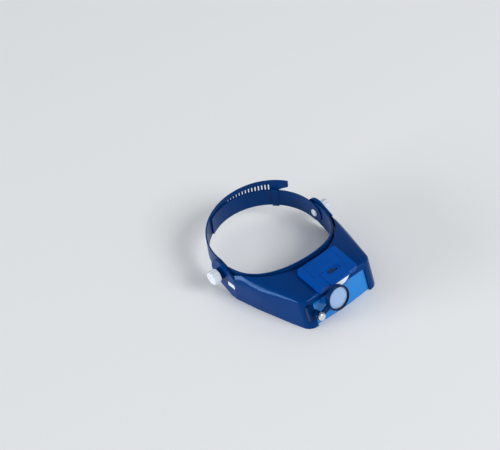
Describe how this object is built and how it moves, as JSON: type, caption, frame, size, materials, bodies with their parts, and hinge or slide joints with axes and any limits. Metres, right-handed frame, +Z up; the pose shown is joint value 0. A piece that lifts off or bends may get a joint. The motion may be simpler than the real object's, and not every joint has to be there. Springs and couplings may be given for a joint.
{
  "type": "head visor magnifier",
  "caption": "Head-worn magnifying visor: a moulded hood with a wide lens window, a swing-out loupe, a flip-down lens, a lamp on top and an adjustable headband on side knobs.",
  "frame": {"origin": "on the table under the middle of the bounding box, with the hood's lower rim flat on Z = 0", "axes": "+Z up, -Y towards the front lens, +X towards the wearer's left, +Y towards the back of the headband"},
  "size_m": [0.197, 0.2388, 0.0617],
  "materials": {
    "hood_blue": "deep blue moulded plastic with a satin sheen",
    "lamp_blue": "slightly brighter blue moulded plastic",
    "dark_blue": "dark blue moulded plastic",
    "lens_clear": "clear optical acrylic with a cyan cast",
    "loupe_clear": "clear polished lens",
    "white_plastic": "white moulded plastic",
    "chrome_screw": "bright plated steel",
    "steel": "plain zinc-plated steel",
    "retainer_black": "near-black moulded plastic",
    "slider_dark": "dark blue moulded plastic",
    "window_white": "milky white diffuser plastic",
    "reflector_bright": "metallised plastic",
    "led_clear": "clear epoxy",
    "board_green": "green circuit board",
    "cell_wrap": "printed film over a steel can",
    "washer_fibre": "dark fibre friction washer",
    "insert_brass": "turned brass"
  },
  "bodies": {
    "visor": {"visor_hood": "hood_blue", "slot_plug_right": "white_plastic", "slot_plug_left": "white_plastic", "knob_spacer_right": "hood_blue", "knob_spacer_left": "hood_blue", "main_lens": "lens_clear", "lens_frame": "dark_blue", "lens_screws": "steel", "loupe_bracket": "dark_blue", "loupe_screw": "chrome_screw", "loupe_washer": "steel", "lamp_base": "dark_blue", "lamp_cover": "lamp_blue", "lamp_window": "window_white", "reflector": "reflector_bright", "lamp_leds": "led_clear", "circuit_board": "board_green", "switch_body": "retainer_black", "cells": "cell_wrap", "cell_contacts": "steel", "lamp_screws": "steel"},
    "headband": {"forehead_band": "hood_blue", "strap_right": "hood_blue", "strap_left": "hood_blue", "buckle": "hood_blue", "pivot_bolt_right": "white_plastic", "pivot_bolt_left": "white_plastic", "friction_washer_right": "washer_fibre", "friction_washer_left": "washer_fibre"},
    "knob_right": {"knob_right": "white_plastic", "knob_insert_right": "insert_brass"},
    "knob_left": {"knob_left": "white_plastic", "knob_insert_left": "insert_brass"},
    "loupe": {"loupe_arm": "dark_blue", "loupe_lens": "loupe_clear", "loupe_retainer": "retainer_black"},
    "flip": {"flip_frame": "dark_blue", "flip_lens": "lens_clear"},
    "switch": {"switch_slider": "slider_dark"},
    "door": {"battery_door": "lamp_blue"}
  },
  "joints": [
    {"name": "headband_tilt", "type": "hinge", "parent": "visor", "child": "headband", "pos_m": [0, 0.0309, 0.0275], "axis": [1, 0, 0], "range_deg": [-10, 65]},
    {"name": "knob_right_turn", "type": "hinge", "parent": "visor", "child": "knob_right", "pos_m": [-0.09, 0.0309, 0.0275], "axis": [-1, 0, 0], "continuous": true},
    {"name": "knob_left_turn", "type": "hinge", "parent": "visor", "child": "knob_left", "pos_m": [0.09, 0.0309, 0.0275], "axis": [1, 0, 0], "continuous": true},
    {"name": "loupe_swing", "type": "hinge", "parent": "visor", "child": "loupe", "pos_m": [-0.0435, -0.11374, 0.02194], "axis": [0, -0.9767, 0.2147], "range_deg": [-24, 150]},
    {"name": "flip_lens_hinge", "type": "hinge", "parent": "visor", "child": "flip", "pos_m": [0, -0.08911, 0.03035], "axis": [1, 0, 0], "range_deg": [-95, 0]},
    {"name": "switch_slide", "type": "slide", "parent": "visor", "child": "switch", "axis": [1, 0, 0], "range_m": [0, 0.005]},
    {"name": "door_lift", "type": "slide", "parent": "visor", "child": "door", "axis": [0, -0.1615, 0.9869], "range_m": [0, 0.01]}
  ]
}
